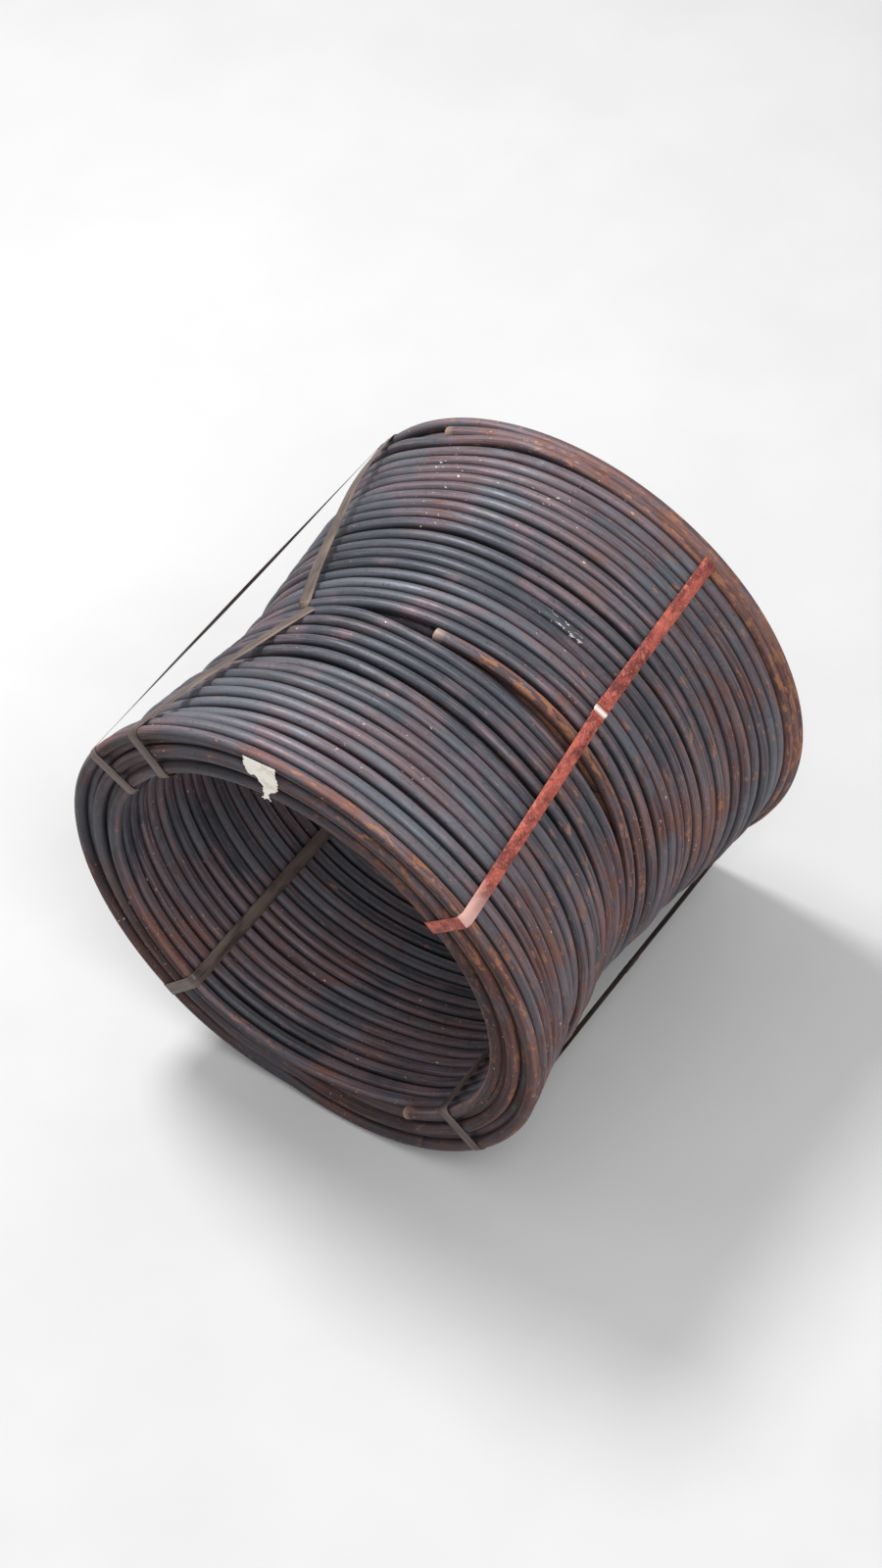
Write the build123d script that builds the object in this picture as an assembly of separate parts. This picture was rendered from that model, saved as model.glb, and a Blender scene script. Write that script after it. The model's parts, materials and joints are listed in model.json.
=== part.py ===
from build123d import *
import math
import os

# A coil of hot-rolled steel rod, wound in nested layers and held by flat steel straps. The coil lies on its
# side: its axis is horizontal along Y, the mouth that faces -Y is the front, and it rests on Z = 0.
# The origin is at the bottom, under the middle of the coil.

# The rod and its winding, in mm
rod_d = 30.0
turn_gap = 0.6
coil_od = 1250.0
layers = 5
turns_front = 15
turns_rear = 21
seam_gap = 8.0
seam_depth = 14.0
waist_depth = 66.0

# The straps and their seals, in mm
strap_w = 32.0
strap_t = 0.9
strap_clear = 0.8
slot_side_clear = 1.5
seal_l = 52.0
seal_t = 1.4
seal_clear = 0.1
notch_r = 5.0
notch_depth = 0.9
label_w = 92.0
label_h = 118.0
label_t = 0.8
label_corner = 26.0

# Where the waist, the straps, the seals and the label are: degrees from +X towards +Z, seen from the front
waist_degrees = 160.0
upper_right_degrees = 44.5
upper_left_degrees = 145.0
lower_left_degrees = 225.0
lower_right_degrees = 315.0
half_front_degrees = 121.0
half_rear_degrees = 129.0
label_degrees = 91.0
seal_from_front = 569.0

long_straps = {
    "upper_right": upper_right_degrees,
    "upper_left": upper_left_degrees,
    "lower_left": lower_left_degrees,
    "lower_right": lower_right_degrees,
}
half_straps = {"front": half_front_degrees, "rear": half_rear_degrees}
straps_with_seals = ("upper_right", "lower_left", "lower_right")

# Worked out from the sizes above
rod_r = rod_d / 2
pitch = rod_d + turn_gap
layer_step = math.sqrt(rod_d**2 - (pitch / 2) ** 2)
coil_r = coil_od / 2
outer_centre = coil_r - rod_r
inner_centre = outer_centre - (layers - 1) * layer_step
bore_r = inner_centre - rod_r
half_flat = rod_r * math.tan(math.pi / 8)
valley_depth = pitch / 2 - half_flat
front_stack = rod_d + (turns_front - 1) * pitch
coil_length = rod_d + (turns_front + turns_rear - 1) * pitch + seam_gap
rear_stack_at = front_stack + turn_gap + seam_gap
strap_reach = strap_clear + strap_t
strap_inner = math.sqrt(bore_r**2 - (strap_w / 2) ** 2) - strap_reach
seam_at = front_stack + (seam_gap + turn_gap) / 2
strap_bend_r = rod_r - half_flat + strap_reach
bore_length = coil_length - rod_d + 2 * half_flat


def turn_centres():
    """How far the middle of each turn of a layer lies from the front of the coil."""
    front = [rod_r + n * pitch for n in range(turns_front)]
    rear = [rod_r + n * pitch + seam_gap for n in range(turns_front, turns_front + turns_rear)]
    return front + rear


def squeeze(y):
    """How far a turn is pressed in along the waist: nothing at both ends of the coil, most at the seam."""
    end = rod_r if y < seam_at else coil_length - rod_r
    return waist_depth * max(0, (y - end) / (seam_at - end))


def side_points():
    """A layer's turns from front to rear: (depth below their crests, distance along the coil, squeeze).

    A turn has one flat on its crest and slopes at 45 degrees, as an eight-sided rod would.
    """
    spots = turn_centres()
    points = []
    for n, y in enumerate(spots):
        points += [(0, y - half_flat, squeeze(y)), (0, y + half_flat, squeeze(y))]
        if n == turns_front - 1:
            following = spots[n + 1]
            points += [(valley_depth, y + pitch / 2, squeeze(y)), (seam_depth, front_stack, squeeze(y))]
            points += [(seam_depth, rear_stack_at, squeeze(following))]
            points += [(valley_depth, following - pitch / 2, squeeze(following))]
        elif n < len(spots) - 1:
            points.append((valley_depth, y + pitch / 2, squeeze(y + pitch / 2)))
    return points


def end_points():
    """The layers as they show on one end, from the outside in: (distance from the axis, depth below the end).

    Every second layer starts half a turn further in, because it lies in the valleys of the others.
    """
    points = []
    for n in range(layers):
        middle = outer_centre - n * layer_step
        depth = pitch / 2 if n % 2 else 0
        points += [(middle + half_flat, depth), (middle - half_flat, depth)]
    return points


def skin():
    """The coil's outside without its bore: ovals at each crest and valley, joined by straight bands."""
    corner = rod_r - half_flat
    sections = [(corner, 0, 0), *side_points(), (corner, coil_length, 0)]
    return loft([oval(*section) for section in sections], ruled=True).rotate(Axis.Y, -waist_degrees)


def oval(depth, y, pressed):
    """The coil's outline across its axis: a circle pressed in from two opposite sides."""
    return Plane.XZ.offset(-y) * Ellipse(coil_r - depth - pressed, coil_r - depth)


def hollow():
    """What is open in the coil: the bore between the inner turns, and the steps from layer to layer."""
    steps = end_points()[1:]
    front = [(r, depth) for r, depth in steps]
    rear = [(r, coil_length - depth) for r, depth in reversed(steps)]
    wall = [(bore_r + depth, y) for depth, y, _ in side_points()]
    beyond = outer_centre - half_flat
    outside = [(beyond, coil_length + rod_d), (0, coil_length + rod_d), (0, -rod_d), (beyond, -rod_d)]
    return revolve(make_face(Polyline(*front, *wall, *rear, *outside, close=True)), Axis.Y, 360)


def placed(shape, angle=0.0):
    """Turn what was drawn towards +X to its angle round the axis, then lay the coil on the floor."""
    turned = shape.rotate(Axis.Y, -angle)
    return turned.translate((0, -coil_length / 2, coil_r))


def crest_height(y, angle):
    """How far from the axis a flat strap at an angle lies when its edge or middle touches the turn there."""
    long_axis = coil_r
    short_axis = coil_r - squeeze(y)
    from_waist = math.radians(angle - waist_degrees)
    c = math.cos(from_waist)
    s = math.sin(from_waist)
    heights = []
    for x in (-strap_w / 2, 0, strap_w / 2):
        a = (c / short_axis) ** 2 + (s / long_axis) ** 2
        b = 2 * x * s * c * (1 / long_axis**2 - 1 / short_axis**2)
        rest = (x * s / short_axis) ** 2 + (x * c / long_axis) ** 2 - 1
        heights.append((math.sqrt(b**2 - 4 * a * rest) - b) / (2 * a))
    return max(heights)


def strap(front, rear, angle):
    """A flat strap round the wall between two distances along the coil. It hugs the turns at both."""
    turns = [y for y in turn_centres() if front < y < rear]
    crests = [crest_height(y, angle) for y in turns]
    slope = (crests[-1] - crests[0]) / (turns[-1] - turns[0])
    chord = [crests[0] + slope * (y - turns[0]) for y in turns]
    over = strap_reach + half_flat * abs(slope) + max(crest - low for crest, low in zip(crests, chord))
    ends = (front - strap_reach, rear + strap_reach)
    outer = [(crests[0] + slope * (y - turns[0]) + over, y) for y in ends]
    inner = [(strap_inner, y) for y in reversed(ends)]
    outline = make_face(FilletPolyline(*outer, *inner, radius=strap_bend_r, close=True))
    band = outline - offset(outline, -strap_t)
    return placed(extrude(band, strap_w / 2, both=True), angle)


def seam_slot():
    """The gap between the two stacks of turns where a half strap passes through the wall."""
    depth = coil_r - bore_r + 2 * rod_r
    gap = rear_stack_at - front_stack
    middle = Pos((coil_r + bore_r) / 2, front_stack + gap / 2, 0)
    return middle * Box(depth, gap, strap_w + 2 * slot_side_clear)


def rod_coil():
    coil = placed(skin() - hollow())
    for angle in half_straps.values():
        coil -= placed(seam_slot(), angle)
    return coil


def seal():
    """A crimped sleeve over a strap on the outside of the coil: a cap with two round notches in each edge."""
    inside_w = strap_w + 2 * seal_clear
    outside_w = inside_w + 2 * seal_t
    height = seal_t + seal_clear + strap_t
    base = coil_r + strap_clear
    cap = Pos(base + height / 2, seal_from_front, 0) * Box(height, seal_l, outside_w)
    cap -= Pos(base + (height - seal_t) / 2, seal_from_front, 0) * Box(height - seal_t, seal_l, inside_w)
    for side in (-1, 1):
        for along in (-1, 1):
            across = side * (outside_w / 2 + notch_r - notch_depth)
            spot = Pos(base + height / 2, seal_from_front + along * seal_l / 4, across)
            cap -= spot * Rot(0, 90, 0) * Cylinder(notch_r, 2 * height)
    return cap


def label():
    """A torn paper label that lies on the front end, with one corner missing."""
    side = label_w / 2
    end = label_h / 2
    torn = [(-end, label_corner - side), (label_corner - end, -side)]
    points = [*torn, (end, -side), (end, side), (-end, side)]
    outline = Pos((coil_r + bore_r) / 2, 0) * Polygon(*points, align=None)
    return extrude(Plane.XZ.offset(strap_clear) * outline, label_t)


os.makedirs("parts", exist_ok=True)
shapes = {"rod_coil": rod_coil()}
for name, angle in long_straps.items():
    shapes["strap_" + name] = strap(0, coil_length, angle)
shapes["half_strap_front"] = strap(0, front_stack, half_straps["front"])
shapes["half_strap_rear"] = strap(rear_stack_at, coil_length, half_straps["rear"])
for name in straps_with_seals:
    shapes["seal_" + name] = placed(seal(), long_straps[name])
shapes["label"] = placed(label(), label_degrees)
for name, shape in shapes.items():
    export_step(shape, f"parts/{name}.step")
print("length", round(coil_length, 2), "bore radius", round(bore_r, 3), "bore length", round(bore_length, 2))
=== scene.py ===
import json
import math

import bpy
import numpy as np
from mathutils import Matrix, Vector


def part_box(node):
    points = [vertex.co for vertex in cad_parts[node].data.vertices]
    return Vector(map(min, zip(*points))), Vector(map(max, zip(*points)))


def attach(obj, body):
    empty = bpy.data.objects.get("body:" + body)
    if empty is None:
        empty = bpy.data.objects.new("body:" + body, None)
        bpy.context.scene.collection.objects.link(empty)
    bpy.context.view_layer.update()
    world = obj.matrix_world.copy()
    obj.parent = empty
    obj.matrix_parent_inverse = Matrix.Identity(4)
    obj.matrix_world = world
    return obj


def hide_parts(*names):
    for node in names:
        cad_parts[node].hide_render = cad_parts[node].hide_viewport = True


# The looks of a coil of hot-rolled steel rod that lies on its side. Its axis runs along Y at the height of
# its radius. Angles go from +X towards +Z, seen from the front mouth, which faces -Y. Lengths are in metres.

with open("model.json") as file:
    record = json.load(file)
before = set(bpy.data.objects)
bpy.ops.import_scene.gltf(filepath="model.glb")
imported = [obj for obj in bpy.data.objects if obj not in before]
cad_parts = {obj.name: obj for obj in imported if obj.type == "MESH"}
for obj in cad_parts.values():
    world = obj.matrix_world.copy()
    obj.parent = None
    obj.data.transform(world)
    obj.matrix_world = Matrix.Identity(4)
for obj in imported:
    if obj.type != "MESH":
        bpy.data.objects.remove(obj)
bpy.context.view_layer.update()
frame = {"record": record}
rng = np.random.default_rng(7)

# Sizes that come from the frame
coil_low, coil_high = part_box("rod_coil")
coil_r = (coil_high.z - coil_low.z) / 2
coil_length = coil_high.y - coil_low.y
front_y = coil_low.y
bore_mount = next(m for m in frame["record"]["mounts"] if m["name"] == "bore")
bore_r = bore_mount["dims"]["r_mm"] / 1000
strap_reach = coil_low.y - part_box("strap_upper_right")[0].y

# The rod and how its turns lie. The outer ones stay inside the solid by a hair.
rod_d = 0.030
rod_r = rod_d / 2
pitch = 0.0306
layer_step = 0.0258
inside_solid = 0.0003
outer_centre = coil_r - rod_r - inside_solid
inner_centre = bore_r + rod_r
inner_count = 36
hidden_count = inner_count - 1

# The seam between the two stacks of turns, and the waist that the coil is drawn in to there, as in the solid
seam_gap = 0.008
seam_middle = 0.4627
waist_depth = 0.066
waist_angle = 160.0

# A turn is worked out at this many angles. Low down, between two angles, it crosses over to the next one.
columns = 144
crossing_start = 227.0
crossing_end = 297.0
angles = np.arange(columns) * 360.0 / columns

# The turns of the outer layer from the front to the rear: full turns, and two loose ends of rod, each in a
# row of its own. A loose end is cut at its first angle and runs back to its second one. Past the cut its row
# narrows to nothing within the taper, in degrees.
front_turns = 15
rear_turns = 18
front_tail = front_turns
rear_tail = front_turns + 1 + rear_turns
outer_count = front_turns + rear_turns + 3
tail_at = {front_tail: (84.0, 290.0), rear_tail: (117.0, 262.0)}
tail_taper = 22.0

# The wedge before the front loose end and a wide gap among the rear turns, each with its middle angle and the
# angle that it reaches to both sides
wedge_gap = 0.024
wedge_at = (52, 38)
open_turn = 23
open_gap = 0.009
open_at = (85, 75)

# How far the outer turns rest below the end turns, how much deeper a turn can sink, and how it can be lifted
rest_depth = 0.009
sink_limit = 0.014
lift_limits = (-0.004, 0.009)

# A turn may ride over the waist until it is pressed in by this share of the waist's depth
least_pressed = 0.3

# How much further out than the true bore its turns may lie, between the ends
bore_play = 0.008

# The second layer: its drop below touching the outer turns, its rise near the coil's ends, and how far its
# two end turns stand out of their even place. Then the fourth layer's rise between the ends.
second_drop = 0.0085
second_rise = 0.0127
second_end_rise = 0.0015
fourth_rise = 0.013

# A blunt end of the rod, as rings: how far each stands out from the cut, and its share of the rod's radius
blunt_end = [(0.0012, 0.93), (0.0018, 0.72)]

# The straps and their seals, and how far along the outer run of its strap a seal sits
strap_w = 0.032
strap_t = 0.0009
seal_l = 0.052
seal_t = 0.0014
seal_clear = 0.0001
seal_share = 0.555

# The red strap goes down into the wall behind this turn, at this angle
dive_turn = outer_count - 3
dive_angle = 49.0
dive_reach = 16.0


def smoothstep(x, low, high):
    t = np.clip((np.asarray(x, float) - low) / (high - low), 0, 1)
    return t * t * (3 - 2 * t)


def turned(angle, middle):
    """How far an angle lies from the middle, from -180 to 180 degrees."""
    return (np.asarray(angle, float) - middle + 180) % 360 - 180


def bump(angle, middle, half_width):
    """1 at the middle angle, 0 from half_width degrees away."""
    t = np.clip(1 - np.abs(turned(angle, middle)) / half_width, 0, 1)
    return t * t * (3 - 2 * t)


def point(angle, radius, along):
    """A place in the row frame from its angle, distance from the axis and distance from the front."""
    a = np.radians(angle)
    return np.stack([radius * np.cos(a), front_y + along + 0 * a, coil_r + radius * np.sin(a)], -1)


def wander(rows, roughness=4, strength=1.0):
    """Smooth random values: a row for each turn, a column for each angle. A row joins up with itself."""
    a = np.radians(angles)
    total = np.zeros((rows, columns))
    for k in range(1, roughness + 1):
        size = rng.normal(0, 1 / k, (rows, 2))
        for _ in range(2):
            size[1:] = 0.6 * size[1:] + 0.4 * size[:-1]
        total += size[:, :1] * np.cos(k * a) + size[:, 1:] * np.sin(k * a)
    return strength * total


def seam_along(angle):
    """Where the seam between the two stacks of turns lies: nearer the front on the left than on the right."""
    return 0.472 - 0.022 * bump(angle, 150, 50) + 0.075 * bump(angle, 38, 105)


def waist(along):
    """How deep the coil is drawn in near the seam: its turns are ovals there, as in the solid."""
    end = np.where(along < seam_middle, rod_r, coil_length - rod_r)
    pressed = waist_depth * np.clip((along - end) / (seam_middle - end), 0, 1)
    a = np.radians(angles - waist_angle)
    short = coil_r - pressed
    return coil_r - 1 / np.sqrt((np.cos(a) / short) ** 2 + (np.sin(a) / coil_r) ** 2)


def near_ends(along, low, high):
    """1 near both ends of the coil, and 0 where both are further away than high."""
    return 1 - smoothstep(along, low, high) + smoothstep(along, coil_length - high, coil_length - low)


def evenly(count, from_end):
    """How far along the turns of an even layer lie, the first and the last this far from the coil's ends."""
    return np.linspace(from_end, coil_length - from_end, count)[:, None] + np.zeros((count, columns))


def inner_share(count):
    """For each turn of a layer 0 if it is the first or the last, and 1 from the fourth turn in."""
    turn = np.arange(count)
    return np.minimum(turn, turn[::-1])[:, None].clip(0, 3) / 3


def settle(along, radius, size, low_radius, high_radius, resting):
    """Pushes turns apart until they only touch, and lets them sink back to the radius that they rest at.

    Each round goes a small share of the way, so that the turns come to rest without swinging.
    """
    goal = along.copy()
    first, last = along[0].copy(), along[-1].copy()
    for _ in range(260):
        for step in (1, 2):
            da = along[step:] - along[:-step]
            dr = radius[step:] - radius[:-step]
            gap = np.sqrt(da**2 + dr**2) + 1e-9
            need = (size[step:] + size[:-step]) / 2
            if step == 2:
                need = np.where(np.minimum(size[step:], size[:-step]) > 0.9 * rod_d, rod_d, 0)
            push = np.clip(need - gap, 0, None) * 0.3
            along[:-step] -= push * da / gap
            along[step:] += push * da / gap
            radius[:-step] -= push * dr / gap
            radius[step:] += push * dr / gap
        along += 0.02 * (goal - along)
        middle_along = (np.roll(along, 1, 1) + np.roll(along, -1, 1)) / 2
        middle_radius = (np.roll(radius, 1, 1) + np.roll(radius, -1, 1)) / 2
        along += 0.25 * (middle_along - along)
        radius += 0.25 * (middle_radius - radius)
        radius += 0.04 * (resting(along) - radius)
        radius = np.clip(radius, low_radius(along), high_radius(along))
        along[0], along[-1] = first, last
    return along, radius


def outer_base(along):
    """How far from the axis the middle of an outer turn lies when it rests on the layer below."""
    floor = bump(angles, 270, 40)
    return outer_centre - rest_depth * (1 - np.maximum(near_ends(along, 0.02, 0.14), floor)) - waist(along)


def outer_layer():
    """The turns that show on the outside, as distances along the coil and from its axis."""
    seam = seam_along(angles)
    sizes = np.full((outer_count, columns), rod_d)
    for row, (start, stop) in tail_at.items():
        inside = (turned(angles, start) <= 0) & (turned(angles, start) >= turned(stop, start))
        away = np.abs(turned(angles, start))
        sizes[row] = np.where(inside, rod_d, rod_d * (1 - smoothstep(away, 0, tail_taper)))
    sizes[open_turn] += open_gap * bump(angles, *open_at)
    sizes[dive_turn] += 2 * strap_reach * bump(angles, dive_angle, dive_reach)
    edges = np.cumsum(sizes, 0)
    centres = edges - sizes / 2
    along = np.zeros_like(sizes)
    tail = sizes[front_tail]
    front_edge = seam - seam_gap / 2 - tail - wedge_gap * bump(angles, *wedge_at)
    along[:front_tail] = centres[:front_tail] * front_edge / edges[front_tail - 1]
    along[front_tail] = seam - seam_gap / 2 - tail / 2
    rear = slice(front_tail + 1, None)
    in_front = edges[front_tail]
    room = coil_length - seam - seam_gap / 2
    along[rear] = seam + seam_gap / 2 + (centres[rear] - in_front) * room / (edges[-1] - in_front)
    along[0] = rod_r
    along[-1] = coil_length - rod_r
    noise = wander(outer_count, 6, 0.0120)
    fade = inner_share(outer_count)
    along += noise * fade
    along[-2] -= 0.006 * bump(angles, 100, 80)
    sunk = np.clip(wander(outer_count, 4, 0.010), 0, sink_limit) * fade
    sunk[list(tail_at)] = 0
    radius = outer_base(along) + np.clip(wander(outer_count, 4, 0.008), *lift_limits) * fade

    def low(a):
        return outer_base(a) - sunk

    def high(a):
        return outer_centre - least_pressed * waist(a)

    return settle(along, radius, sizes, low, high, low)


def inner_layer():
    """The turns that line the bore. They may lie further out than the true bore, never further in."""
    fade = inner_share(inner_count)
    along = evenly(inner_count, rod_r) + wander(inner_count, 4, 0.004) * fade
    radius = inner_centre + np.abs(wander(inner_count, 4, 0.0035)) * fade
    sizes = np.full((inner_count, columns), rod_d)

    def low(a):
        return inner_centre + 0 * a

    def high(a):
        return inner_centre + bore_play + 0 * a

    return settle(along, radius, sizes, low, high, high)


def second_layer():
    """The layer under the outer one, half a turn out of step with it.

    Its end turns close the gap beside the outer ones. In the waist it lies midway between the outer turns and
    the bore's, where there is no room for more.
    """
    along = evenly(hidden_count, rod_r + pitch / 2)
    radius = outer_base(along) - rod_d - second_drop + near_ends(along, 0.05, 0.10) * second_rise
    radius[[0, -1]] = outer_centre - layer_step + second_end_rise
    squeezed = np.minimum(inner_centre + layer_step, (outer_base(along) + inner_centre) / 2)
    return along, np.maximum(radius, squeezed)


def fourth_layer():
    """The layer under the bore's, half a turn out of step with it and further out between the ends."""
    along = evenly(hidden_count, rod_r + pitch / 2)
    return along, outer_centre - 3 * layer_step + fourth_rise * (1 - near_ends(along, 0.05, 0.10))


def winding(turns, stop=None, onto=None, cut=(False, False)):
    """Paths along a stack of turns, as one rod: each turn is a ring that crosses over to the next low down.

    A turn is (along, radius, where it is shown). The last one crosses over onto a turn of the next layer, or
    ends at the angle stop, counted from the start of that turn. cut says whether the rod's start and end are
    blunt. Every rod starts and ends in the same tone, so that none shows where two of them meet.
    """
    path = []
    step = 360 / columns
    one = crossing_end + np.arange(columns) * step
    column = np.round(one / step).astype(int) % columns
    across = smoothstep(one - 360, crossing_start, crossing_end)
    share = np.arange(columns) / columns
    tones = rng.uniform(0, 1, len(turns) + 1)
    tones[[0, -1]] = 0.5
    targets = [*turns[1:], turns[-1] if onto is None else onto]
    for place, (here, following) in enumerate(zip(turns, targets)):
        a = here[0][column] * (1 - across) + following[0][column] * across
        r = here[1][column] * (1 - across) + following[1][column] * across
        tone = tones[place] * (1 - share) + tones[place + 1] * share
        last = place == len(turns) - 1
        inside = one <= stop if last and stop is not None else np.ones(columns, bool)
        path.append(np.stack([one + 360 * place, a, r, tone, inside & here[2][column]]))
    path = np.concatenate(path, 1)
    if stop is None:
        joint = targets[-1]
        beyond = [one[0] + 360 * len(turns), joint[0][column[0]], joint[1][column[0]], tones[-1], path[4, -1]]
        path = np.column_stack([path, beyond])
    edges = np.flatnonzero(np.diff(np.concatenate([[0], path[4], [0]])))
    pieces = [path[:4, i:j] for i, j in zip(edges[::2], edges[1::2]) if j - i > 3]
    blunt = [[False, False] for _ in pieces]
    blunt[0][0], blunt[-1][1] = cut
    return [(*piece, *ends) for piece, ends in zip(pieces, blunt)]


def tube(paths, sides, seam_side):
    """A rod along each path. seam_side turns the picture's seam to the side that doesn't show."""
    verts, faces, uvs, values = [], [], [], {"tone": [], "rust": [], "chalk": [], "cut": []}
    ring = seam_side + np.arange(sides) * 2 * math.pi / sides
    v0 = np.arange(sides) / sides
    v1 = v0 + 1 / sides
    base = 0
    for turn, a, r, tone, cut_start, cut_end in paths:
        middle = point(turn, r, a)
        tangent = np.gradient(middle, axis=0)
        tangent /= np.linalg.norm(tangent, axis=1, keepdims=True)
        out = point(turn, 1.0, 0.0) - point(turn, 0.0, 0.0)
        out -= (out * tangent).sum(1, keepdims=True) * tangent
        out /= np.linalg.norm(out, axis=1, keepdims=True)
        side = np.cross(tangent, out)
        length = np.concatenate([[0], np.cumsum(np.linalg.norm(np.diff(middle, axis=0), axis=1))])
        head = [(-shift, share) for shift, share in reversed(blunt_end)] if cut_start else []
        tail = blunt_end if cut_end else []
        index = np.array([0] * len(head) + list(range(len(middle))) + [len(middle) - 1] * len(tail))
        caps = np.array([*head, *[(0.0, 1.0)] * len(middle), *tail])
        shift, size = caps[:, 0], caps[:, 1] * rod_r
        bare = np.zeros(len(index))
        bare[:len(head) * 3 // 2] = 1
        bare[len(index) - len(tail) * 3 // 2:] = 1
        centre = middle[index] + shift[:, None] * tangent[index]
        circle = np.cos(ring)[:, None] * out[index][:, None] + np.sin(ring)[:, None] * side[index][:, None]
        verts.append((centre[:, None, :] + size[:, None, None] * circle).reshape(-1, 3))
        count = len(index)
        i = base + np.arange(count - 1)[:, None] * sides
        j = np.arange(sides)[None, :]
        k = (j + 1) % sides
        faces += np.stack([i + j, i + k, i + sides + k, i + sides + j], -1).reshape(-1, 4).tolist()
        faces.append(list(range(base + sides - 1, base - 1, -1)))
        faces.append(list(range(base + (count - 1) * sides, base + count * sides)))
        u = length[index] + shift + rng.uniform(0, 50)
        corner_u = np.stack([u[:-1], u[:-1], u[1:], u[1:]], -1)[:, None, :] + np.zeros((1, sides, 1))
        corner_v = np.stack([v0, v1, v1, v0], -1)[None] + np.zeros((count - 1, 1, 1))
        uvs.append(np.stack([corner_u, corner_v], -1).reshape(-1, 2))
        uvs.append(np.stack([np.full(2 * sides, u[0]), np.tile(v0, 2)], -1))
        values["tone"].append(np.repeat(tone[index], sides))
        values["rust"].append(np.repeat(rust_and_sky_reflection_at(turn, a)[index], sides))
        values["chalk"].append(np.repeat(chalk_at(turn, a)[index], sides))
        values["cut"].append(np.repeat(bare, sides))
        base += count * sides
    values = {key: np.concatenate(data) for key, data in values.items()}
    return np.concatenate(verts), faces, np.concatenate(uvs), values


def rust_and_sky_reflection_at(angle, along):
    """How rusty the rods are: little on the top left, more on the right, most at the rear end. Its low value
    on the top left keeps the blue-grey scale there, which is also a painted reflection of the sky on the
    coil's top.
    """
    right = 0.20 + 0.36 * bump(angle, 15, 85)
    under = 0.22 * bump(angle, 250, 110)
    front = (0.26 + 0.24 * bump(angle, 58, 42)) * (1 - smoothstep(along, 0.0, 0.06))
    rear = 0.32 * smoothstep(along, coil_length - 0.075, coil_length - 0.055)
    tail = seam_along(angle) - seam_gap / 2 - rod_r
    on_tail = 0.62 * np.exp(-(((along - tail) / 0.015) ** 2)) * bump(angle, 42, 72)
    return np.clip(right + under + front + rear + on_tail, 0, 1)


def chalk_at(angle, along):
    """Where white flecks lie thickly: along one of the rear turns, left of the red strap."""
    return np.exp(-(((along - 0.706) / 0.020) ** 2)) * bump(angle, 63, 13)


def mesh_piece(name, verts, faces, uvs=None, smooth=True, **values):
    """A new object. values are kept at its vertices, for its material to read."""
    mesh = bpy.data.meshes.new(name)
    mesh.from_pydata([tuple(v) for v in verts], [], faces)
    if uvs is not None:
        layer = mesh.uv_layers.new(name="UVMap")
        layer.data.foreach_set("uv", np.asarray(uvs, np.float32).ravel())
    for key, data in values.items():
        attribute = mesh.attributes.new(key, "FLOAT", "POINT")
        attribute.data.foreach_set("value", np.asarray(data, np.float32))
    if smooth:
        mesh.shade_smooth()
    else:
        mesh.shade_flat()
    mesh.update()
    piece = bpy.data.objects.new(name, mesh)
    bpy.context.scene.collection.objects.link(piece)
    return piece


def rod_piece(name, paths, sides, material, seam_side=math.pi):
    """Rods along the paths as one piece, which stands for a part of the solid coil."""
    verts, faces, uvs, values = tube(paths, sides, seam_side)
    piece = mesh_piece(name, verts, faces, uvs, **values)
    piece.data.materials.append(material)
    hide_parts("rod_coil")
    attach(piece, "root")
    return piece


# Materials


def srgb(r, g, b):
    """A colour written as 0 to 255 on a screen, in the linear values that a shader takes."""
    def channel(c):
        c /= 255
        return c / 12.92 if c <= 0.04045 else ((c + 0.055) / 1.055) ** 2.4

    return channel(r), channel(g), channel(b), 1.0


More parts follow.
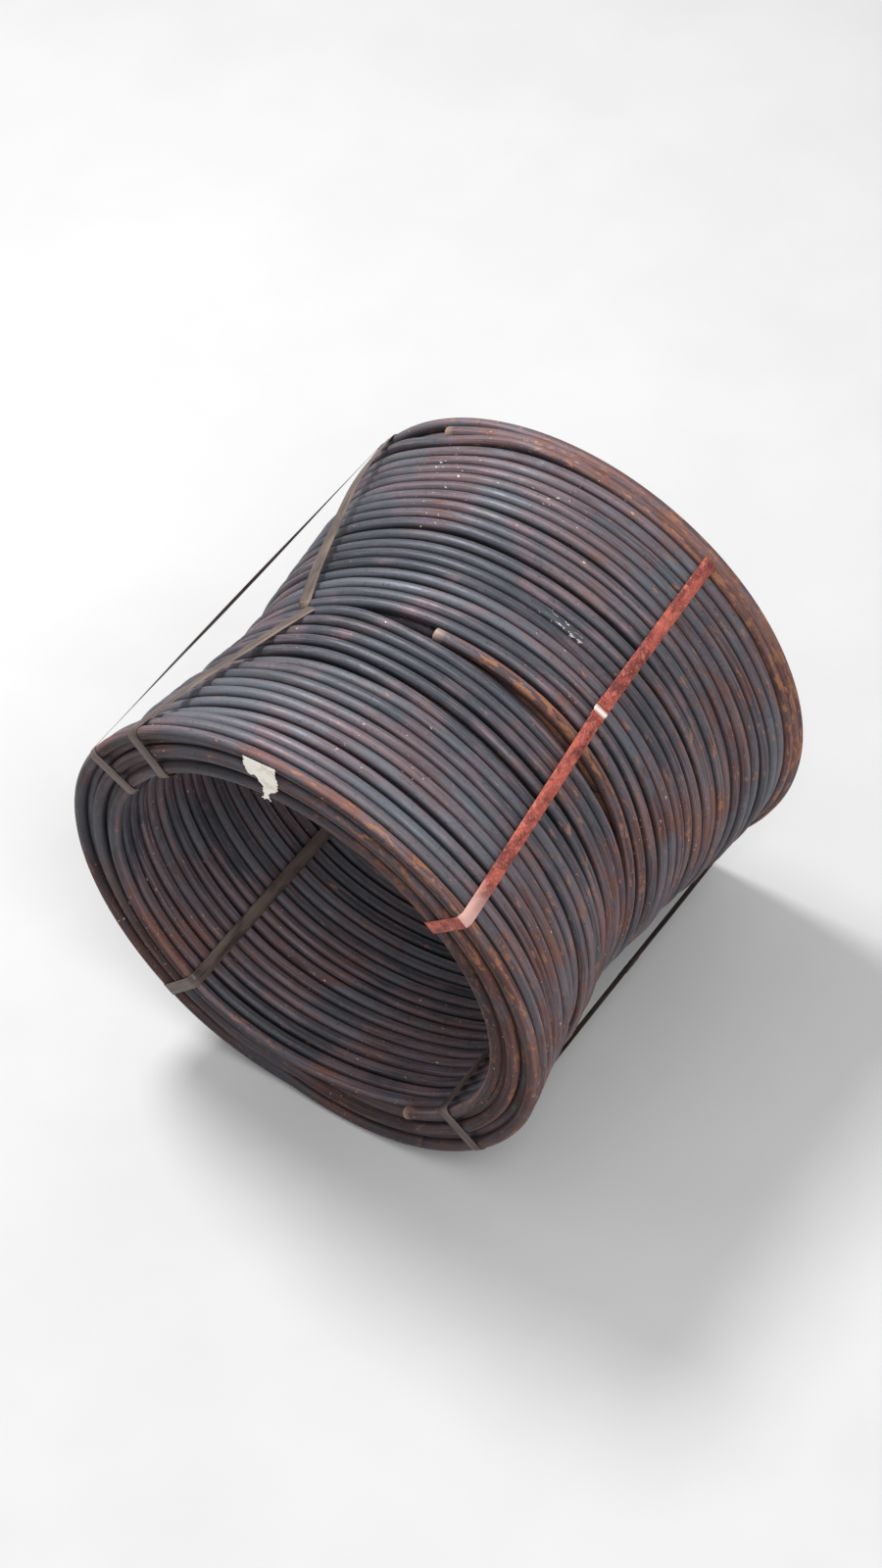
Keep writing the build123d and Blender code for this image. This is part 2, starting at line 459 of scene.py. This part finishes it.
class Shader:
    """A material with one principled shader, and short ways to add nodes to it."""

    def __init__(self, name):
        self.material = bpy.data.materials.new(name)
        self.material.use_nodes = True
        self.tree = self.material.node_tree
        self.out = self.tree.nodes["Principled BSDF"]

    def node(self, kind, **settings):
        made = self.tree.nodes.new(kind)
        for key, value in settings.items():
            setattr(made, key, value)
        return made

    def link(self, source, target):
        self.tree.links.new(source, target)

    def feed(self, socket, value):
        if isinstance(value, bpy.types.NodeSocket):
            self.link(value, socket)
        else:
            socket.default_value = value

    def attribute(self, name):
        return self.node("ShaderNodeAttribute", attribute_name=name).outputs["Fac"]

    def place(self, source, scale):
        """Coordinates: Object for the row frame, UV for along and round the rod."""
        coordinates = self.node("ShaderNodeTexCoord").outputs[source]
        mapping = self.node("ShaderNodeMapping")
        mapping.inputs["Scale"].default_value = scale
        self.link(coordinates, mapping.inputs["Vector"])
        return mapping.outputs["Vector"]

    def from_crest(self):
        """How far round the rod a point is from its crest: 0 on it, 0.5 on the side that doesn't show."""
        parts = self.node("ShaderNodeSeparateXYZ")
        self.link(self.node("ShaderNodeTexCoord").outputs["UV"], parts.inputs["Vector"])
        return self.math("ABSOLUTE", self.math("SUBTRACT", parts.outputs["Y"], 0.5), 0.0)

    def noise(self, vector, scale, detail=4.0, roughness=0.55, distortion=0.0):
        made = self.node("ShaderNodeTexNoise")
        self.link(vector, made.inputs["Vector"])
        made.inputs["Scale"].default_value = scale
        made.inputs["Detail"].default_value = detail
        made.inputs["Roughness"].default_value = roughness
        made.inputs["Distortion"].default_value = distortion
        return made.outputs["Fac"]

    def ramp(self, value, low, high, to_low=0.0, to_high=1.0):
        made = self.node("ShaderNodeMapRange", interpolation_type="SMOOTHSTEP")
        self.feed(made.inputs["Value"], value)
        made.inputs["From Min"].default_value = low
        made.inputs["From Max"].default_value = high
        made.inputs["To Min"].default_value = to_low
        made.inputs["To Max"].default_value = to_high
        return made.outputs["Result"]

    def math(self, kind, a, b):
        made = self.node("ShaderNodeMath", operation=kind)
        self.feed(made.inputs[0], a)
        self.feed(made.inputs[1], b)
        return made.outputs[0]

    def mix(self, factor, a, b):
        made = self.node("ShaderNodeMix", data_type="RGBA")
        self.feed(made.inputs["Factor"], factor)
        self.feed(made.inputs["A"], a)
        self.feed(made.inputs["B"], b)
        return made.outputs["Result"]

    def bump(self, height, strength, distance, below=None):
        made = self.node("ShaderNodeBump")
        made.inputs["Strength"].default_value = strength
        made.inputs["Distance"].default_value = distance
        self.link(height, made.inputs["Height"])
        if below is not None:
            self.link(below, made.inputs["Normal"])
        return made.outputs["Normal"]


def rod_steel():
    """Dark mill scale in blue-grey and purple-brown, worn pale on the crests, and rust where it is worn off.
    The pale crests are also a painted highlight, the blue-grey top is also a painted sky reflection, and each
    rod's flanks carry painted shade between the turns.
    """
    s = Shader("rod_steel")
    space = s.place("Object", (1.0, 1.0, 1.0))
    tone = s.attribute("tone")
    rust = s.attribute("rust")
    flank = s.ramp(s.from_crest(), 0.07, 0.24)
    patches = s.noise(space, 3.4, 5.0, 0.6, 0.4)
    specks = s.noise(space, 105.0, 5.0, 0.7)
    streaks = s.noise(s.place("UV", (2.4, 8.0, 1.0)), 1.0, 8.0, 0.64, 0.3)
    flecks = s.noise(s.place("UV", (11.0, 3.5, 1.0)), 1.0, 7.0, 0.66, 0.6)
    scratches = s.noise(s.place("UV", (7.0, 46.0, 1.0)), 1.0, 5.0, 0.7, 0.1)
    blue = s.mix(s.ramp(tone, 0.05, 0.95), srgb(55, 57, 66), srgb(102, 104, 113))
    brown = s.mix(s.ramp(streaks, 0.36, 0.62), srgb(72, 57, 64), srgb(122, 102, 107))
    # The low rust value on the top left keeps the blue-grey scale there, which is also a painted reflection
    # of the sky on the coil's top
    warm = s.math("ADD", s.math("MULTIPLY", rust, 0.9), s.ramp(patches, 0.35, 0.7, -0.35, 0.4))
    warm = s.math("ADD", warm, s.ramp(streaks, 0.35, 0.65, -0.2, 0.2))
    colour = s.mix(s.ramp(warm, 0.02, 0.52), blue, brown)
    # Pale scratched streaks on each rod's crest, fading onto its flanks: worn scale, and also a painted
    # highlight
    rubbed_and_highlight = s.ramp(scratches, 0.48, 0.68, 0.0, 0.5)
    colour = s.mix(s.math("MULTIPLY", rubbed_and_highlight, s.ramp(flank, 0.0, 1.0, 1.0, 0.2)), colour, srgb(132, 137, 146))
    rusty = s.math("ADD", s.math("MULTIPLY", rust, 0.30), s.math("MULTIPLY", flecks, 0.55))
    rusty = s.math("ADD", rusty, s.math("MULTIPLY", patches, 0.42))
    rust_colour = s.mix(s.ramp(streaks, 0.36, 0.60), srgb(90, 58, 54), srgb(138, 96, 84))
    colour = s.mix(s.ramp(rusty, 0.63, 0.73, 0.0, 0.78), colour, rust_colour)
    fresh = s.noise(s.place("UV", (15.0, 4.5, 1.0)), 1.3, 6.0, 0.7, 0.4)
    bright = s.math("ADD", s.math("MULTIPLY", rust, 0.22), fresh)
    colour = s.mix(s.ramp(bright, 0.70, 0.74, 0.0, 0.8), colour, srgb(168, 116, 84))
    colour = s.mix(s.ramp(specks, 0.32, 0.44, 0.5, 0.0), colour, srgb(30, 28, 33))
    # Painted shade: each rod's flanks are darkened towards near black, where the valleys between the turns
    # lie in shade
    colour = s.mix(s.ramp(flank, 0.0, 1.0, 0.0, 0.62), colour, srgb(24, 22, 27))
    chips = s.noise(s.place("UV", (30.0, 6.0, 1.0)), 2.0, 4.0, 0.65)
    chips = s.math("ADD", chips, s.ramp(patches, 0.40, 0.62, -0.10, 0.0))
    chips = s.math("ADD", chips, s.math("MULTIPLY", s.attribute("chalk"), 0.21))
    colour = s.mix(s.ramp(chips, 0.65, 0.68, 0.0, 0.9), colour, srgb(226, 219, 211))
    colour = s.mix(s.math("MULTIPLY", s.attribute("cut"), 0.8), colour, srgb(178, 148, 134))
    s.link(colour, s.out.inputs["Base Color"])
    s.out.inputs["Metallic"].default_value = 0.3
    dull = s.math("ADD", rusty, s.math("MULTIPLY", specks, 0.25))
    s.link(s.ramp(dull, 0.55, 0.95, 0.45, 0.84), s.out.inputs["Roughness"])
    coarse = s.bump(flecks, 0.35, 0.0010)
    lengthwise = s.bump(scratches, 0.25, 0.0004, coarse)
    s.link(s.bump(specks, 0.45, 0.0006, lengthwise), s.out.inputs["Normal"])
    return s.material


def strap_rusty():
    """Strapping under bright red-brown rust, worn to pale pink near the front and to white on the seal."""
    s = Shader("strap_rusty")
    space = s.place("Object", (1.0, 1.0, 1.0))
    along = s.place("UV", (14.0, 3.0, 1.0))
    patches = s.noise(along, 1.0, 5.0, 0.6, 0.5)
    specks = s.noise(space, 220.0, 4.0, 0.7)
    blotches = s.noise(s.place("UV", (42.0, 6.0, 1.0)), 1.0, 6.0, 0.7, 0.3)
    colour = s.mix(s.ramp(patches, 0.40, 0.60), srgb(118, 47, 44), srgb(184, 88, 74))
    colour = s.mix(s.ramp(blotches, 0.52, 0.66, 0.0, 0.75), colour, srgb(206, 122, 100))
    colour = s.mix(s.ramp(blotches, 0.36, 0.46, 0.7, 0.0), colour, srgb(92, 44, 46))
    colour = s.mix(s.ramp(specks, 0.52, 0.68, 0.0, 0.6), colour, srgb(214, 148, 126))
    colour = s.mix(s.ramp(specks, 0.30, 0.42, 0.7, 0.0), colour, srgb(84, 38, 38))
    pale = s.ramp(s.math("ADD", s.attribute("pale"), s.math("MULTIPLY", patches, 0.5)), 0.7, 1.1)
    colour = s.mix(pale, colour, srgb(214, 168, 158))
    colour = s.mix(s.ramp(s.attribute("pale"), 1.1, 1.4), colour, srgb(238, 232, 226))
    s.link(colour, s.out.inputs["Base Color"])
    s.out.inputs["Metallic"].default_value = 0.1
    s.link(s.ramp(specks, 0.3, 0.7, 0.5, 0.8), s.out.inputs["Roughness"])
    s.link(s.bump(specks, 0.5, 0.0004, s.bump(patches, 0.3, 0.0008)), s.out.inputs["Normal"])
    return s.material


def strap_steel():
    """Dull strapping, grey-brown with rust freckles and scuffs along its length."""
    s = Shader("strap_steel")
    space = s.place("Object", (1.0, 1.0, 1.0))
    along = s.place("UV", (9.0, 3.0, 1.0))
    patches = s.noise(along, 1.0, 5.0, 0.6, 0.5)
    scuffs = s.noise(s.place("UV", (4.0, 60.0, 1.0)), 1.0, 4.0, 0.6)
    specks = s.noise(space, 200.0, 4.0, 0.7)
    colour = s.mix(s.ramp(patches, 0.35, 0.65), srgb(78, 68, 64), srgb(120, 106, 98))
    colour = s.mix(s.ramp(scuffs, 0.52, 0.7, 0.0, 0.6), colour, srgb(152, 144, 137))
    colour = s.mix(s.ramp(specks, 0.54, 0.68, 0.0, 0.8), colour, srgb(140, 92, 72))
    s.link(colour, s.out.inputs["Base Color"])
    s.out.inputs["Metallic"].default_value = 0.45
    s.link(s.ramp(patches, 0.3, 0.7, 0.42, 0.7), s.out.inputs["Roughness"])
    s.link(s.bump(specks, 0.35, 0.0003, s.bump(scuffs, 0.2, 0.0003)), s.out.inputs["Normal"])
    return s.material


def label_paper():
    """Torn matt paper, off-white with faint stains and creases."""
    s = Shader("label_paper")
    space = s.place("Object", (1.0, 1.0, 1.0))
    stains = s.noise(space, 38.0, 4.0, 0.6, 0.6)
    fibres = s.noise(space, 900.0, 3.0, 0.6)
    colour = s.mix(s.ramp(stains, 0.5, 0.75, 0.0, 0.8), srgb(248, 244, 234), srgb(206, 194, 174))
    s.link(colour, s.out.inputs["Base Color"])
    s.out.inputs["Roughness"].default_value = 0.92
    s.link(s.bump(fibres, 0.25, 0.0002, s.bump(stains, 0.4, 0.001)), s.out.inputs["Normal"])
    return s.material


def floor_paint():
    s = Shader("floor")
    space = s.place("Object", (1.0, 1.0, 1.0))
    shade = s.ramp(s.noise(space, 2.0, 3.0), 0.3, 0.7)
    s.link(s.mix(shade, srgb(210, 210, 210), srgb(214, 214, 214)), s.out.inputs["Base Color"])
    s.out.inputs["Roughness"].default_value = 0.8
    return s.material


# Straps, seals and the label


def strap_path(front, rear, angle_front, angle_rear, slack=0.0, wobble=0.0, kink=0.0):
    """A strap's centre line round the wall: its angles, distances along and from the axis, and the two parts
    of the direction out of the band, along the coil and away from its axis.

    front and rear are each (along, radius) of the outer turn that the strap bends round, and the same of the
    inner one. slack lifts the outer run in its middle, wobble makes it uneven, and kink moves it sideways at
    the seal, in degrees.
    """
    (of_a, of_r), (if_a, if_r) = front
    (or_a, or_r), (ir_a, ir_r) = rear
    bend = rod_r + strap_reach - strap_t / 2
    lift_phase, sway_phase, _ = rng.uniform(0, 6, 3)
    rows = []
    run = np.linspace(0, 1, 120)
    for t in run:
        rise = slack * math.sin(math.pi * t) ** 0.8
        rise = max(rise + wobble * math.sin(9 * t + lift_phase) * math.sin(math.pi * t), 0)
        rows.append((t, of_a + t * (or_a - of_a), of_r + t * (or_r - of_r) + bend + rise, 0.0, 1.0))
    for q in np.linspace(0, math.pi / 2, 9)[1:]:
        rows.append((1, or_a + bend * math.sin(q), or_r + bend * math.cos(q), math.sin(q), math.cos(q)))
    for t in np.linspace(0, 1, 14)[1:-1]:
        rows.append((1, or_a + t * (ir_a - or_a) + bend, or_r + t * (ir_r - or_r), 1.0, 0.0))
    for q in np.linspace(0, math.pi / 2, 9):
        rows.append((1, ir_a + bend * math.cos(q), ir_r - bend * math.sin(q), math.cos(q), -math.sin(q)))
    for t in run[::-1][1:-1]:
        rows.append((t, if_a + t * (ir_a - if_a), if_r + t * (ir_r - if_r) - bend, 0.0, -1.0))
    for q in np.linspace(0, math.pi / 2, 9):
        rows.append((0, if_a - bend * math.sin(q), if_r - bend * math.cos(q), -math.sin(q), -math.cos(q)))
    for t in np.linspace(0, 1, 14)[1:-1]:
        rows.append((0, if_a + t * (of_a - if_a) - bend, if_r + t * (of_r - if_r), -1.0, 0.0))
    for q in np.linspace(math.pi / 2, 0, 9)[:-1]:
        rows.append((0, of_a - bend * math.sin(q), of_r + bend * math.cos(q), -math.sin(q), math.cos(q)))
    rows = np.array(rows)
    sway = wobble * 0.05 * np.sin(7 * rows[:, 0] + sway_phase)
    tent = np.minimum(rows[:, 0] / seal_share, (1 - rows[:, 0]) / (1 - seal_share))
    angle = angle_front + rows[:, 0] * (angle_rear - angle_front) + kink * tent + np.degrees(sway)
    return angle, rows[:, 1], rows[:, 2], rows[:, 3], rows[:, 4]


def lean(normal, across, twist):
    """Turns a band's section about its run, by an angle in degrees for each of its places."""
    c = np.cos(np.radians(twist))[:, None]
    s = np.sin(np.radians(twist))[:, None]
    return c * normal + s * across, c * across - s * normal


def skin(lengths, count, sides):
    """Faces between rings of vertices, and the places of their corners in the picture.

    lengths says how far along each ring lies. With one more of them than rings the skin joins up with itself.
    """
    faces, uvs = [], []
    for i, (low, high) in enumerate(zip(lengths, lengths[1:])):
        n = (i + 1) % count
        for j in range(sides):
            k = (j + 1) % sides
            faces.append((i * sides + j, n * sides + j, n * sides + k, i * sides + k))
            uvs += [(low, j / sides), (high, j / sides), (high, (j + 1) / sides), (low, (j + 1) / sides)]
    return faces, uvs


def band(path, width, thickness, twist):
    """A flat band with slightly rounded edges round a closed path, as vertices, faces and picture corners."""
    angle, a, r, na, nr = path
    middle = point(angle, r, a)
    axis_out = point(angle, 1.0, 0.0) - point(angle, 0.0, 0.0)
    normal = nr[:, None] * axis_out + na[:, None] * np.array([0.0, 1.0, 0.0])
    tangent = np.roll(middle, -1, 0) - np.roll(middle, 1, 0)
    tangent /= np.linalg.norm(tangent, axis=1, keepdims=True)
    normal -= (normal * tangent).sum(1, keepdims=True) * tangent
    normal /= np.linalg.norm(normal, axis=1, keepdims=True)
    across = np.cross(normal, tangent)
    w, t = width / 2, thickness / 2
    edge = thickness * 0.45
    top = [(-w + edge, t), (0, t), (w - edge, t), (w, 0)]
    outline = np.array([*top, *[(-x, -z) for x, z in top]])
    normal, across = lean(normal, across, twist)
    verts = middle[:, None] + outline[:, :1] * across[:, None] + outline[:, 1:] * normal[:, None]
    steps = np.linalg.norm(np.diff(np.vstack([middle, middle[:1]]), axis=0), axis=1)
    lengths = np.concatenate([[0], np.cumsum(steps)])
    return verts.reshape(-1, 3), *skin(lengths, len(middle), len(outline))


def strap_piece(name, path, material, twist=0.0):
    """A strap as a band. twist turns the middle of its outer run, in degrees."""
    outer = path[4] > 0.5
    share = (path[1] - path[1].min()) / (path[1].max() - path[1].min())
    verts, faces, uvs = band(path, strap_w, strap_t, twist * outer * np.sin(np.pi * share) ** 2)
    sides = len(verts) // len(path[0])
    pale = np.where(outer, np.clip(1 - share / 0.20, 0, 1), 0.2)
    piece = mesh_piece(name, verts, faces, uvs, pale=np.repeat(pale, sides))
    piece.data.materials.append(material)
    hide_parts(name.replace("_band", ""))
    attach(piece, "root")
    return piece


def seal_piece(name, path, share, material):
    """A crimped sleeve over a strap: its long edges are nicked and folded in at two places."""
    outer_run = (path[4] > 0.99) & (path[3] == 0)
    run_angle, run_along, run_radius = [values[outer_run] for values in path[:3]]
    span = np.linspace(-0.5, 0.5, 25)
    along = run_along[0] + share * (run_along[-1] - run_along[0]) + span * seal_l
    angle = np.interp(along, run_along, run_angle)
    centre = point(angle, np.interp(along, run_along, run_radius), along)
    out = point(angle, 1.0, 0.0) - point(angle, 0.0, 0.0)
    tangent = np.gradient(centre, axis=0)
    tangent /= np.linalg.norm(tangent, axis=1, keepdims=True)
    across = np.cross(out, tangent)
    pinch = np.exp(-(((span - 0.25) / 0.07) ** 2)) + np.exp(-(((span + 0.25) / 0.07) ** 2))
    widths = strap_w / 2 + seal_clear + seal_t - 0.0022 * pinch
    tops = strap_t / 2 + seal_clear + seal_t + 0.0006 * pinch
    bevel = 0.0016
    under = -strap_t / 2
    verts = []
    for w, top, middle, to_side, to_top in zip(widths, tops, centre, across, out):
        left = [(-w, under), (-w, top * 0.6), (-w + bevel, top), (0, top)]
        right = [(w - bevel, top), (w, top * 0.6), (w, under), (0, strap_t / 2 + seal_clear)]
        verts += [middle + x * to_side + z * to_top for x, z in left + right]
    sides = len(left + right)
    faces, uvs = skin(span, len(span), sides)
    faces.append(tuple(range(sides)))
    faces.append(tuple(range(len(verts) - 1, len(verts) - 1 - sides, -1)))
    uvs += [(0, 0)] * (2 * sides)
    white_spot = np.clip(1.9 - 8 * np.abs(span + 0.12), 0.1, 1.5)
    piece = mesh_piece(name, verts, faces, uvs, smooth=False, pale=np.repeat(white_spot, sides))
    piece.data.materials.append(material)
    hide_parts(name.replace("_crimped", ""))
    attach(piece, "root")
    return piece


def label_piece(material):
    """A torn label stuck on the front turns, with a ragged lower edge that hangs towards the bore."""
    rows, cols = 78, 60
    width, height, thickness = 0.096, 0.118, 0.0006
    middle_angle, middle_r = 91.6, 0.554
    stand_off, wave_height = 0.00045, 0.00035
    verts, faces = [], []
    for i in range(rows + 1):
        v = i / rows
        for j in range(cols + 1):
            u = j / cols
            x = (u - 0.5) * width
            radius = middle_r + (0.5 - v) * height
            wave = wave_height * (1 + math.sin(11 * v + 3 * u))
            verts.append((x, front_y - stand_off - wave, radius))
    verts = np.array(verts)
    a = math.radians(middle_angle - 90)
    x, z = verts[:, 0].copy(), verts[:, 2].copy()
    verts[:, 0] = x * math.cos(a) - z * math.sin(a)
    verts[:, 2] = coil_r + x * math.sin(a) + z * math.cos(a)

    def kept(u, v):
        left = 0.07 + 0.02 * math.sin(23 * v) + 0.012 * math.sin(71 * v)
        left += 0.42 * smoothstep(v, 0.35, 0.62) - 0.10 * smoothstep(v, 0.8, 1)
        right = 0.93 + 0.02 * math.sin(19 * v + 1) + 0.012 * math.sin(67 * v)
        right -= 0.30 * smoothstep(v, 0.55, 0.80)
        bottom = 0.96 + 0.02 * math.sin(31 * u) + 0.012 * math.sin(83 * u)
        notch = (u - 0.30) ** 2 + ((v - 0.55) * 0.8) ** 2 < 0.012
        return left < u < right and v < bottom and not notch

    for i in range(rows):
        for j in range(cols):
            if kept((j + 0.5) / cols, (i + 0.5) / rows):
                q = i * (cols + 1) + j
                faces.append((q, q + 1, q + cols + 2, q + cols + 1))
    used = sorted({v for f in faces for v in f})
    index = {v: n for n, v in enumerate(used)}
    piece = mesh_piece("torn_label", verts[used], [tuple(index[v] for v in f) for f in faces])
    thick = piece.modifiers.new("thickness", "SOLIDIFY")
    thick.thickness = thickness
    thick.offset = 0
    piece.data.materials.append(material)
    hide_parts("label")
    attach(piece, "root")
    return piece


# The camera, where the photograph was taken from

photo_view = Vector((-0.435, 0.815, -0.383)).normalized()
photo_right = Vector((0.882, 0.471, 0.0)).normalized()
camera_at = Vector((3.51, -4.18, 6.86))


def add_camera():
    data = bpy.data.cameras.new("camera")
    data.lens = 84
    data.sensor_width = 36
    camera = bpy.data.objects.new("camera", data)
    bpy.context.scene.collection.objects.link(camera)
    wanted = (Vector((0, 0, coil_r)) - camera_at).normalized()
    swing = photo_view.rotation_difference(wanted)
    right = swing @ photo_right
    up = swing @ photo_right.cross(photo_view)
    back = -wanted
    basis = Matrix((right, up, back)).transposed()
    camera.matrix_world = Matrix.Translation(camera_at) @ basis.to_4x4()
    bpy.context.scene.camera = camera


def add_lamp(name, at, size, power):
    data = bpy.data.lights.new(name, "AREA")
    data.shape = "DISK"
    data.size = size
    data.energy = power
    lamp = bpy.data.objects.new(name, data)
    lamp.location = at
    lamp.rotation_euler = (Vector((0, 0, coil_r)) - Vector(at)).to_track_quat("-Z", "Y").to_euler()
    bpy.context.scene.collection.objects.link(lamp)


def add_stage():
    half = 40.0
    corners = [(-half, -half, 0), (half, -half, 0), (half, half, 0), (-half, half, 0)]
    floor = mesh_piece("floor", corners, [(0, 1, 2, 3)])
    floor.location.z = -0.0005
    floor.data.materials.append(floor_paint())
    world = bpy.data.worlds.new("world")
    world.use_nodes = True
    background = world.node_tree.nodes["Background"]
    background.inputs["Color"].default_value = (1, 1, 1, 1)
    background.inputs["Strength"].default_value = 0.55
    bpy.context.scene.world = world
    add_lamp("key", (-3.4, 0.9, 6.7), 2.0, 430)
    add_lamp("fill", (3.8, -2.6, 6.2), 3.0, 190)


scene = bpy.context.scene
scene.view_settings.view_transform = "Standard"
add_camera()
add_stage()

steel = rod_steel()
rusty = strap_rusty()
dull = strap_steel()

everywhere = np.ones(columns, bool)
outer_along, outer_radius = outer_layer()
inner_along, inner_radius = inner_layer()
third_radius = np.full((inner_count, columns), outer_centre - 2 * layer_step)

# The turns of each layer, from the outside in. The fourth is left out where the waist leaves no room for it.
first = [(a, r, everywhere) for a, r in zip(outer_along, outer_radius)]
second = [(a, r, everywhere) for a, r in zip(*second_layer())]
third = [(a, r, everywhere) for a, r in zip(evenly(inner_count, rod_r), third_radius)]
fourth = [(a, r, r + rod_d < outer_base(a)) for a, r in zip(*fourth_layer())]
fifth = [(a, r, everywhere) for a, r in zip(inner_along, inner_radius)]

# The rod is wound from the bore outwards: one layer to the rear, the next one back to the front
outer_paths = winding(first[:front_tail + 1], 360 + tail_at[front_tail][0], cut=(False, True))
outer_paths += winding(first[front_tail + 1:rear_tail + 1], 360 + tail_at[rear_tail][0], cut=(True, True))
outer_paths += winding(first[-1:])
rod_piece("outer_turns", outer_paths, 12, steel)
rod_piece("second_turns", winding(second[::-1], onto=first[0]), 10, steel)
rod_piece("third_turns", winding(third[:2]) + winding(third[-3:], onto=second[-1]), 12, steel)
rod_piece("fourth_turns", winding(fourth[::-1], onto=third[0]), 10, steel)
rod_piece("bore_turns", winding(fifth, onto=fourth[-1], cut=(True, False)), 12, steel, 0.0)


def turn_at(row, angle):
    """Where an outer turn lies at an angle, as (along, radius)."""
    column = int(round(angle / 360 * columns)) % columns
    return outer_along[row][column], outer_radius[row][column]


def strap_ends(along):
    """The outer and the inner turn that a strap bends round at one end of its run, both as far along."""
    return (along, outer_centre), (along, inner_centre)


# Each long strap's angle at the front and at the rear, and how far along its rear bend lies
rear_turn = coil_length - rod_r
long_straps = {
    "upper_right": (40.0, dive_angle, turn_at(dive_turn, dive_angle)[0]),
    "upper_left": (145.0, 145.0, rear_turn),
    "lower_left": (225.0, 225.0, rear_turn),
    "lower_right": (315.0, 315.0, rear_turn),
}
for place, (angle_front, angle_rear, rear) in long_straps.items():
    red = place == "upper_right"
    material, slot_name = (rusty, "strap_rusty") if red else (dull, "strap_steel")
    kink = 1.4 if red else 0.0
    path = strap_path(strap_ends(rod_r), strap_ends(rear), angle_front, angle_rear, wobble=0.0008, kink=kink)
    twist = 14.0 if place == "upper_left" else 0.0
    strap_piece(f"strap_{place}_band", path, material, twist)
    if place != "upper_left":
        seal_piece(f"seal_{place}_crimped", path, seal_share, material)

# The half straps go through the wall at the seam, each round the turn of its stack that lies next to it
seam_turn = (seam_gap + pitch) / 2
at_seam = (turn_at(front_tail - 1, 114.0), (seam_middle - seam_turn, inner_centre))
path = strap_path(strap_ends(rod_r), at_seam, 127.0, 113.5, slack=0.004, wobble=0.001)
strap_piece("half_strap_front_band", path, dull)
at_seam = (turn_at(front_tail + 1, 118.0), (seam_middle + seam_turn, inner_centre))
path = strap_path(at_seam, strap_ends(rear_turn), 117.5, 139.5, slack=0.016, wobble=0.003)
strap_piece("half_strap_rear_band", path, dull)
label_piece(label_paper())
